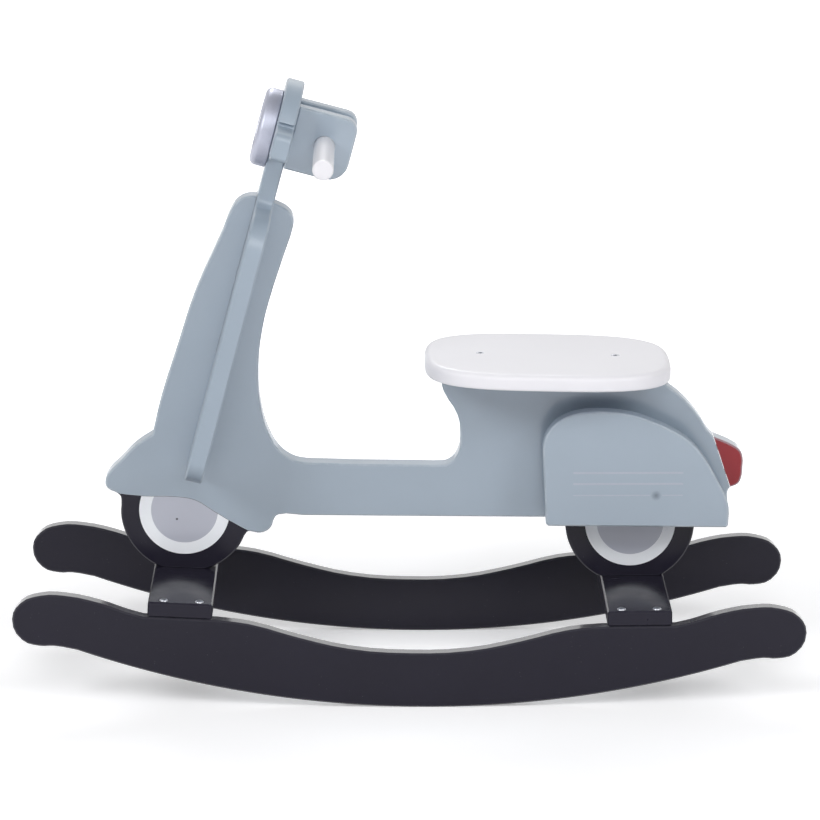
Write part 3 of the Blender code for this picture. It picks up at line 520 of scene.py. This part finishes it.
def make_rounding_smoother():
    """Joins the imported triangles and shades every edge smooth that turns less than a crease."""
    group = bpy.data.node_groups.new("smooth roundings", 'GeometryNodeTree')
    group.interface.new_socket(name="Geometry", in_out='INPUT', socket_type='NodeSocketGeometry')
    group.interface.new_socket(name="Geometry", in_out='OUTPUT', socket_type='NodeSocketGeometry')
    entry = group.nodes.new('NodeGroupInput').outputs[0]
    leave = group.nodes.new('NodeGroupOutput').inputs[0]
    joined = wire(group, 'GeometryNodeMergeByDistance', {"Geometry": entry, "Distance": JOIN_DISTANCE})
    smooth = wire(group, 'GeometryNodeSetShadeSmooth',
                  {"Geometry": joined.outputs[0], "Shade Smooth": True}, domain='FACE')
    turn = group.nodes.new('GeometryNodeInputMeshEdgeAngle').outputs["Unsigned Angle"]
    crease = wire(group, 'FunctionNodeCompare', {"A": turn, "B": CREASE_ANGLE}, data_type='FLOAT',
                  operation='GREATER_THAN').outputs["Result"]
    creased = wire(group, 'GeometryNodeSetShadeSmooth',
                   {"Geometry": smooth.outputs[0], "Selection": crease, "Shade Smooth": False},
                   domain='EDGE')
    group.links.new(creased.outputs[0], leave)
    return group


ROUNDING_SMOOTHER = make_rounding_smoother()
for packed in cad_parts.values():
    if packed.type == 'MESH':
        packed.modifiers.new("smooth_roundings", 'NODES').node_group = ROUNDING_SMOOTHER
        weighting = packed.modifiers.new("flat_faces_stay_flat", 'WEIGHTED_NORMAL')
        weighting.mode = 'FACE_AREA_WITH_ANGLE'
        weighting.keep_sharp = True


# Mesh helpers

SHARP_ANGLE = math.radians(30)


def put_in_scene(name, content):
    """Makes an object of this mesh, lamp or lens in the scene."""
    made = bpy.data.objects.new(name, content)
    bpy.context.scene.collection.objects.link(made)
    return made


def keep_piece(name, shape, material, smooth=True):
    """Turns a bmesh into a named piece that rides on the toy and wears this material."""
    bmesh.ops.recalc_face_normals(shape, faces=shape.faces)
    mesh = bpy.data.meshes.new(name)
    shape.to_mesh(mesh)
    shape.free()
    mesh.materials.append(material)
    piece = put_in_scene(name, mesh)
    if smooth:
        mesh.shade_smooth()
        mesh.set_sharp_from_angle(angle=SHARP_ANGLE)
    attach(piece, "root")
    return piece


def standing_at(place, axis):
    """The matrix that stands a shape's Z axis along this axis at this place."""
    turn = axis.to_track_quat('Z', 'Y').to_matrix().to_4x4()
    return Matrix.Translation(place) @ turn


def round_points(radius, steps):
    """Points of a circle round the origin."""
    return [(radius * math.cos(math.tau * step / steps), radius * math.sin(math.tau * step / steps))
            for step in range(steps)]


def join_rings(shape, first, second):
    """Adds the faces between two rings of corners, with three corners where a ring is one point."""
    for step in range(len(first)):
        after = (step + 1) % len(first)
        corners = [first[step], first[after], second[after], second[step]]
        kept = [corner for at, corner in enumerate(corners) if corner not in corners[:at]]
        if len(kept) > 2:
            shape.faces.new(kept)


# Hex-socket screws in place of the plain packed ones

SCREW_HEAD_RADIUS = 0.0042
SCREW_RIM = 0.0003
SCREW_THREAD_ROOT = 0.0016
SCREW_THREAD_CREST = 0.00225
SCREW_THREAD_PITCH = 0.0018
SCREW_PLAIN_LENGTH = 0.004
SCREW_TIP_LENGTH = 0.004
SCREW_TIP_SHARE = 0.08
SOCKET_RADIUS = 0.0023
SOCKET_DEPTH = 0.0018
SCREW_SIDES = 24
RINGS_PER_TURN = 5

# How much wider than the socket its mouth is, just under the head's top and at the top
SOCKET_LIP = (1.03, 1.08)
SOCKET_LIP_DEPTH = 0.0001

# A button head's height, and its rings: how far each is in from the rim, and its share of the height
BUTTON_HEIGHT = 0.0014
BUTTON_PROFILE = ((0.0008, 0.80), (0.0002, 0.40), (0.0, 0.0))


def screw_axes(node):
    """Reads where a packed screw's head is, which way it points and how long it is."""
    points = numpy.array([vertex.co for vertex in node.data.vertices], float)
    middle = points.mean(0)
    axis = numpy.linalg.svd(points - middle)[2][0]
    along = (points - middle) @ axis
    away = numpy.linalg.norm(points - middle - numpy.outer(along, axis), axis=1)
    if along[away.argmax()] < 0:
        axis = -axis
        along = -along
    bottom, top = along.min(), along.max()
    centre = (points.min(0) + points.max(0)) / 2
    on_axis = centre - axis * ((centre - middle) @ axis)
    head = on_axis + axis * top
    return Vector(head), Vector(axis), top - bottom


def hexagon_radius(angle, corner):
    """How far the side of a hexagon is from its middle at this angle."""
    within = (angle % math.radians(60)) - math.radians(30)
    return corner * math.cos(math.radians(30)) / math.cos(within)


def thread_radius(angle, depth, length):
    """The shank's radius at this angle and depth: plain neck, rolled thread, then a tapering tip."""
    turn = (depth / SCREW_THREAD_PITCH - angle / math.tau) % 1.0
    ridge = 1 - abs(2 * turn - 1)
    depth_of_thread = SCREW_THREAD_CREST - SCREW_THREAD_ROOT
    grown = min(1.0, max(0.0, (depth - SCREW_PLAIN_LENGTH) / SCREW_THREAD_PITCH))
    radius = SCREW_THREAD_ROOT + depth_of_thread * grown * ridge
    left = length - depth
    return radius * min(1.0, max(0.0, left / SCREW_TIP_LENGTH) + SCREW_TIP_SHARE)


def screw_rings(length, dome):
    """Every ring of points down the screw, from the middle of its socket over its dome to its tip."""
    angles = [math.tau * step / SCREW_SIDES for step in range(SCREW_SIDES)]
    hexagon = [hexagon_radius(angle, SOCKET_RADIUS) for angle in angles]
    rings = [([reach / 2 for reach in hexagon], -SOCKET_DEPTH), (hexagon, -SOCKET_DEPTH),
             ([reach * SOCKET_LIP[0] for reach in hexagon], dome - SOCKET_LIP_DEPTH),
             ([reach * SOCKET_LIP[1] for reach in hexagon], dome)]
    cone_end = -(SCREW_HEAD_RADIUS - SCREW_THREAD_ROOT) - SCREW_RIM
    outline = [(SCREW_HEAD_RADIUS - inward, dome * share) for inward, share in BUTTON_PROFILE]
    outline += [(SCREW_HEAD_RADIUS, -SCREW_RIM), (SCREW_THREAD_ROOT, cone_end)]
    for radius, level in outline:
        rings.append(([radius] * SCREW_SIDES, level))
    steps = math.ceil((length + cone_end) / SCREW_THREAD_PITCH * RINGS_PER_TURN)
    for step in range(1, steps + 1):
        level = cone_end + (-length - cone_end) * step / steps
        rings.append(([thread_radius(angle, -level, length) for angle in angles], level))
    return angles, rings


def make_screw(name):
    """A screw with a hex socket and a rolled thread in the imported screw's place.

    The cross-boards' screws have button heads, and all others are flush.
    """
    head, axis, length = screw_axes(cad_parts[name])
    angles, rings = screw_rings(length, BUTTON_HEIGHT if "board_screw" in name else 0.0)
    shape = bmesh.new()
    circles = []
    for radii, level in rings:
        circles.append([shape.verts.new((radius * math.cos(angle), radius * math.sin(angle), level))
                        for radius, angle in zip(radii, angles)])
    for upper, lower in zip(circles, circles[1:]):
        for side in range(SCREW_SIDES):
            after = (side + 1) % SCREW_SIDES
            shape.faces.new((upper[side], lower[side], lower[after], upper[after]))
    shape.faces.new(circles[0])
    shape.faces.new(list(reversed(circles[-1])))
    bmesh.ops.transform(shape, matrix=standing_at(head, axis), verts=shape.verts)
    piece = keep_piece(name + "_threaded", shape, screw_steel)
    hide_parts(name)


for name in sorted(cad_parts):
    if "screw" in name:
        make_screw(name)


# Painted ring and hub on each face of each wheel

FILM_STEPS = 96
TRIMMER_WIDENING = 1.5


def annulus(shape, inner, outer, bottom, top):
    """Adds a flat washer about the Y axis to the bmesh, or a disc where the inner radius is 0."""
    rows = []
    for radius, level in ((outer, bottom), (outer, top), (inner, top), (inner, bottom)):
        if radius:
            rows.append([shape.verts.new((x, level, z)) for x, z in round_points(radius, FILM_STEPS)])
    walls = [(rows[0], rows[1])]
    if inner:
        walls += [(rows[1], rows[2]), (rows[2], rows[3]), (rows[3], rows[0])]
    else:
        shape.faces.new(rows[0])
        shape.faces.new(rows[1])
    for first, second in walls:
        join_rings(shape, first, second)


def widened_copy(node):
    """A passing copy of a packed plate, thicker across the toy, to trim paint films with."""
    cutter = put_in_scene("film_trimmer", node.data.copy())
    cutter.data.transform(Matrix.Diagonal((1, TRIMMER_WIDENING, 1, 1)))
    return cutter


def trimmed(piece, cutter):
    """Keeps only the part of the film that lies on the plate."""
    trim = piece.modifiers.new("trim", 'BOOLEAN')
    trim.operation = 'INTERSECT'
    trim.solver = 'EXACT'
    trim.object = cutter
    held = piece.evaluated_get(bpy.context.evaluated_depsgraph_get())
    mesh = bpy.data.meshes.new_from_object(held)
    piece.modifiers.clear()
    piece.data = mesh


def make_wheel_films(end):
    """The white ring and the grey hub, as thin films on both faces of one wheel."""
    hub_x, hub_z = WHEEL_HUBS[end]
    centre = toy_place(hub_x, 0, hub_z)
    cutter = widened_copy(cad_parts[end + "_wheel_plate"])
    for side, sign in SIDES:
        for film, inner, outer, paint in (("ring", RING_INNER_RADIUS, RING_OUTER_RADIUS, ring_paint),
                                          ("hub", 0.0, RING_INNER_RADIUS, hub_paint)):
            shape = bmesh.new()
            face = sign * (WHEEL_HALF_THICKNESS + FILM_LIFT)
            annulus(shape, inner, outer, face, face + sign * FILM_THICKNESS)
            bmesh.ops.translate(shape, vec=centre, verts=shape.verts)
            piece = keep_piece(f"{end}_wheel_{film}_{side}", shape, paint, smooth=False)
            trimmed(piece, cutter)
    bpy.data.objects.remove(cutter)


for end in WHEEL_HUBS:
    make_wheel_films(end)


# Headlight: a smooth turned disc with a raised rim, and a pale lens painted on its recess

HEADLIGHT_RADIUS = 0.038
HEADLIGHT_DEPTH = 0.0162
HEADLIGHT_FRONT_ROUND = 0.0062
HEADLIGHT_REAR_ROUND = 0.0012
HEADLIGHT_RIM = 0.0040
HEADLIGHT_RECESS = 0.0015
LENS_CROWN = 0.0010
LENS_INSET = 0.0006
TURNED_STEPS = 128
ARC_STEPS = 8

# The flat front face's outer radius, and the recess in it
HEADLIGHT_FACE = HEADLIGHT_RADIUS - HEADLIGHT_FRONT_ROUND
RECESS_RADIUS = HEADLIGHT_FACE - HEADLIGHT_RIM
RECESS_FLOOR = HEADLIGHT_DEPTH - HEADLIGHT_RECESS


def quarter_arc(middle, radius, start, end):
    """Points of an arc in the turning profile, from one angle to another in degrees."""
    points = []
    for step in range(ARC_STEPS + 1):
        angle = math.radians(start + (end - start) * step / ARC_STEPS)
        points.append((middle[0] + radius * math.cos(angle), middle[1] + radius * math.sin(angle)))
    return points


def turned_shape(profile):
    """Turns a profile of radius and height round the Z axis into a closed bmesh."""
    shape = bmesh.new()
    rows = []
    for radius, height in profile:
        if radius == 0:
            rows.append([shape.verts.new((0, 0, height))] * TURNED_STEPS)
        else:
            rows.append([shape.verts.new((x, y, height)) for x, y in round_points(radius, TURNED_STEPS)])
    for first, second in zip(rows, rows[1:]):
        join_rings(shape, first, second)
    return shape


def headlight_place():
    """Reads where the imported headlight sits: the centre of its rear face, and the way it looks."""
    facing = Vector(ALONG_SHIELD_NORMAL) * -1
    points = [vertex.co.copy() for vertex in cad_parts["headlight"].data.vertices]
    depths = [point.dot(facing) for point in points]
    rear = min(depths)
    low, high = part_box("headlight")
    middle = (Vector(low) + Vector(high)) / 2
    centre = middle + facing * (rear - middle.dot(facing))
    return standing_at(centre, facing)


def make_headlight_disc(place):
    """The silver disc with its rim and recess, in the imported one's place."""
    rear = HEADLIGHT_REAR_ROUND
    front = HEADLIGHT_FRONT_ROUND
    half = HEADLIGHT_RECESS / 2
    profile = [(0, 0), (HEADLIGHT_RADIUS - rear, 0)]
    profile += quarter_arc((HEADLIGHT_RADIUS - rear, rear), rear, -90, 0)[1:]
    profile += quarter_arc((HEADLIGHT_FACE, HEADLIGHT_DEPTH - front), front, 0, 90)
    profile += quarter_arc((RECESS_RADIUS + half, RECESS_FLOOR + half), half, 90, 180)
    profile += [(RECESS_RADIUS, RECESS_FLOOR), (0, RECESS_FLOOR)]
    shape = turned_shape(profile)
    bmesh.ops.transform(shape, matrix=place, verts=shape.verts)
    disc = keep_piece("headlight_turned", shape, headlight_paint)
    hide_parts("headlight")


def make_headlight_lens(place):
    """The pale painted lens, a low crown on the floor of the recess."""
    edge = RECESS_RADIUS - LENS_INSET
    base = RECESS_FLOOR + FILM_THICKNESS
    profile = [(0, RECESS_FLOOR + FILM_LIFT), (edge, RECESS_FLOOR + FILM_LIFT)]
    for step in range(ARC_STEPS):
        angle = math.radians(90 * step / ARC_STEPS)
        profile.append((edge * math.cos(angle), base + LENS_CROWN * math.sin(angle)))
    profile.append((0, base + LENS_CROWN))
    shape = turned_shape(profile)
    bmesh.ops.transform(shape, matrix=place, verts=shape.verts)
    keep_piece("headlight_lens_painted", shape, lens_paint)


on_the_head = headlight_place()
make_headlight_disc(on_the_head)
make_headlight_lens(on_the_head)


# Painted trim lines and the filled screw hole with painted shade on both cowls, and the pin hole's
# painted shade on the front hub

# Each trim line's height and half its width. All three run level in the model's frame
TRIM_LINES = ((0.2099, 0.0009), (0.1989, 0.0009), (0.1874, 0.0005))
TRIM_FROM = 0.159
TRIM_TO = 0.266
TRIM_THICKNESS = 0.00020
TRIM_END_STEPS = 6
FILLER_THICKNESS = 0.00026

# The pin hole's painted shade, a dark disc in the scooter's own frame. It lies on the hub's film
HUB_MARK = (-0.2285, 0.1496)
HUB_MARK_RADIUS = 0.0011
HUB_MARK_LIFT = 0.00003
HUB_MARK_THICKNESS = FILM_THICKNESS / 2


def standing_film(shape, outline, face, sign, thickness):
    """Adds a thin film with this X and Z outline to the bmesh, standing off a face that looks along Y."""
    inner = [shape.verts.new((x, face, z)) for x, z in outline]
    outer = [shape.verts.new((x, face + sign * thickness, z)) for x, z in outline]
    shape.faces.new(inner)
    shape.faces.new(outer)
    join_rings(shape, inner, outer)


def stadium(x_from, x_to, z, half_height):
    """Outline of a thin bar with round ends."""
    outline = []
    for middle, start in ((x_to - half_height, -90), (x_from + half_height, 90)):
        for step in range(TRIM_END_STEPS + 1):
            angle = math.radians(start + 180 * step / TRIM_END_STEPS)
            outline.append((middle + half_height * math.cos(angle), z + half_height * math.sin(angle)))
    return outline


def round_outline(middle, radius):
    """Outline of a disc about this middle."""
    return [(middle[0] + x, middle[1] + z) for x, z in round_points(radius, FILM_STEPS)]


def make_cowl_films(side, sign):
    """The painted trim lines, and the filled screw hole with painted shade of its dip, on one cowl."""
    cowl_face = sign * (COWL_OUTER_FACE + FILM_LIFT)
    lines = bmesh.new()
    for level, half_height in TRIM_LINES:
        outline = stadium(TRIM_FROM, TRIM_TO, level, half_height)
        standing_film(lines, outline, cowl_face, sign, TRIM_THICKNESS)
    keep_piece("cowl_trim_lines_" + side, lines, trim_paint, smooth=False)
    plug = bmesh.new()
    outline = round_outline(FILLED_HOLE, FILLED_HOLE_RADIUS)
    standing_film(plug, outline, cowl_face, sign, FILLER_THICKNESS)
    keep_piece("cowl_filled_hole_" + side, plug, filler_paint_and_shade, smooth=False)


def make_pin_hole_shade(side, sign):
    """The pin hole on one face of the front wheel, as a dark disc of painted shade over its painted hub."""
    spot = toy_place(HUB_MARK[0], 0, HUB_MARK[1])
    hub_face = sign * (WHEEL_HALF_THICKNESS + HUB_MARK_LIFT + FILM_THICKNESS)
    mark = bmesh.new()
    outline = round_outline((spot.x, spot.z), HUB_MARK_RADIUS)
    standing_film(mark, outline, hub_face, sign, HUB_MARK_THICKNESS)
    keep_piece("front_hub_pin_mark_" + side, mark, pin_hole_shade_paint, smooth=False)


for side, sign in SIDES:
    make_cowl_films(side, sign)
    make_pin_hole_shade(side, sign)


# Floor, light and camera

# How much glow whitens the floor, near the toy and away from it, and the reach of both
FLOOR_LIFT_BY_TOY = 0.35
FLOOR_LIFT_FAR = 0.90
TOY_REACH = 0.30
FAR_FLOOR = 1.6
FLOOR_HALF_SIDE = 6.0


def looked_at(tree):
    """Is 1 where the camera or a reflection looks, and 0 where only light is gathered."""
    rays = tree.nodes.new('ShaderNodeLightPath').outputs
    direct = maths(tree, 'MAXIMUM', rays["Is Camera Ray"], rays["Is Glossy Ray"])
    return maths(tree, 'MAXIMUM', direct, rays["Is Transmission Ray"])


def make_floor():
    """A plain white floor that keeps the toy's shadow and turns to pure white away from it."""
    shape = bmesh.new()
    bmesh.ops.create_grid(shape, x_segments=1, y_segments=1, size=FLOOR_HALF_SIDE)
    mesh = bpy.data.meshes.new("floor")
    shape.to_mesh(mesh)
    shape.free()
    floor = put_in_scene("floor", mesh)
    material = bpy.data.materials.new("floor_white")
    material.use_nodes = True
    tree = material.node_tree
    tree.nodes.clear()
    seen = looked_at(tree)
    matt = wire(tree, 'ShaderNodeBsdfDiffuse', {"Color": colour(FLOOR_WHITE)})
    away = wire(tree, 'ShaderNodeVectorMath', {0: object_coordinates(tree)}, operation='LENGTH')
    whitening = remap(tree, away.outputs["Value"], TOY_REACH, FAR_FLOOR,
                      FLOOR_LIFT_BY_TOY, FLOOR_LIFT_FAR)
    lift = wire(tree, 'ShaderNodeEmission', {"Strength": maths(tree, 'MULTIPLY', seen, whitening)})
    both = wire(tree, 'ShaderNodeAddShader', {0: matt.outputs[0], 1: lift.outputs[0]})
    leave = tree.nodes.new('ShaderNodeOutputMaterial')
    tree.links.new(both.outputs[0], leave.inputs["Surface"])
    mesh.materials.append(material)


# The world's light at the horizon and overhead, and the cove and ceiling that are looked at
HORIZON_LIGHT = 0.15
ZENITH_LIGHT = 0.26
HORIZON_ENDS = 0.15
ZENITH_BEGINS = 0.5
CEILING_BEGINS = 0.35
CEILING_GREY = 0.35


def make_world():
    """Soft light, strongest overhead. Camera and reflections see a white cove under a grey ceiling."""
    world = bpy.data.worlds.new("white_studio")
    world.use_nodes = True
    bpy.context.scene.world = world
    tree = world.node_tree
    seen = looked_at(tree)
    direction = tree.nodes.new('ShaderNodeTexCoord').outputs["Generated"]
    height = wire(tree, 'ShaderNodeSeparateXYZ', {"Vector": direction}).outputs["Z"]
    sky = remap(tree, height, HORIZON_ENDS, ZENITH_BEGINS, HORIZON_LIGHT, ZENITH_LIGHT)
    backdrop = remap(tree, height, CEILING_BEGINS, 1.0, 1.0, CEILING_GREY)
    strength = remap(tree, seen, 0.0, 1.0, sky, backdrop)
    background = tree.nodes["Background"]
    background.inputs["Color"].default_value = (1, 1, 1, 1)
    tree.links.new(strength, background.inputs["Strength"])


SOFTBOX_TARGET = (0, 0, 0.25)
SOFTBOXES = {
    "front_softbox": {"place": (0.3, -4.3, 3.15), "size": 2.3, "power": 60.0},
    "left_softbox": {"place": (-3.2, -2.7, 2.9), "size": 1.4, "power": 80.0},
    "right_softbox": {"place": (3.2, -2.7, 2.9), "size": 1.6, "power": 64.0},
    "rear_softbox": {"place": (-0.4, 3.6, 3.2), "size": 1.8, "power": 50.0},
}


def make_softbox(name, place, size, power):
    """A square soft light that looks at the toy and can't itself be seen by the camera."""
    lamp = bpy.data.lights.new(name, 'AREA')
    lamp.size = size
    lamp.energy = power
    softbox = put_in_scene(name, lamp)
    softbox.location = place
    softbox.visible_camera = False
    softbox.rotation_mode = 'QUATERNION'
    outlook = Vector(SOFTBOX_TARGET) - Vector(place)
    softbox.rotation_quaternion = outlook.to_track_quat('-Z', 'Y')


FOCAL_LENGTH_IN_PIXELS = 4094.8
PICTURE_SIDE_IN_PIXELS = 820
SENSOR_WIDTH = 36.0
CAMERA_PLACE = (-0.0361, -3.8788, 1.2321)
CAMERA_DOWNWARD = math.radians(14.0511)
CAMERA_RIGHTWARD = math.radians(0.5557)


def make_camera():
    """The photograph's long lens from the rider's left, a little above the seat."""
    lens = bpy.data.cameras.new("photo_camera")
    lens.sensor_width = SENSOR_WIDTH
    lens.lens = FOCAL_LENGTH_IN_PIXELS / PICTURE_SIDE_IN_PIXELS * SENSOR_WIDTH
    camera = put_in_scene("photo_camera", lens)
    camera.location = CAMERA_PLACE
    camera.rotation_euler = (math.radians(90) - CAMERA_DOWNWARD, 0, -CAMERA_RIGHTWARD)
    bpy.context.scene.camera = camera


make_floor()
make_world()
for name, softbox in SOFTBOXES.items():
    make_softbox(name, **softbox)
make_camera()
bpy.context.scene.view_settings.view_transform = 'Standard'
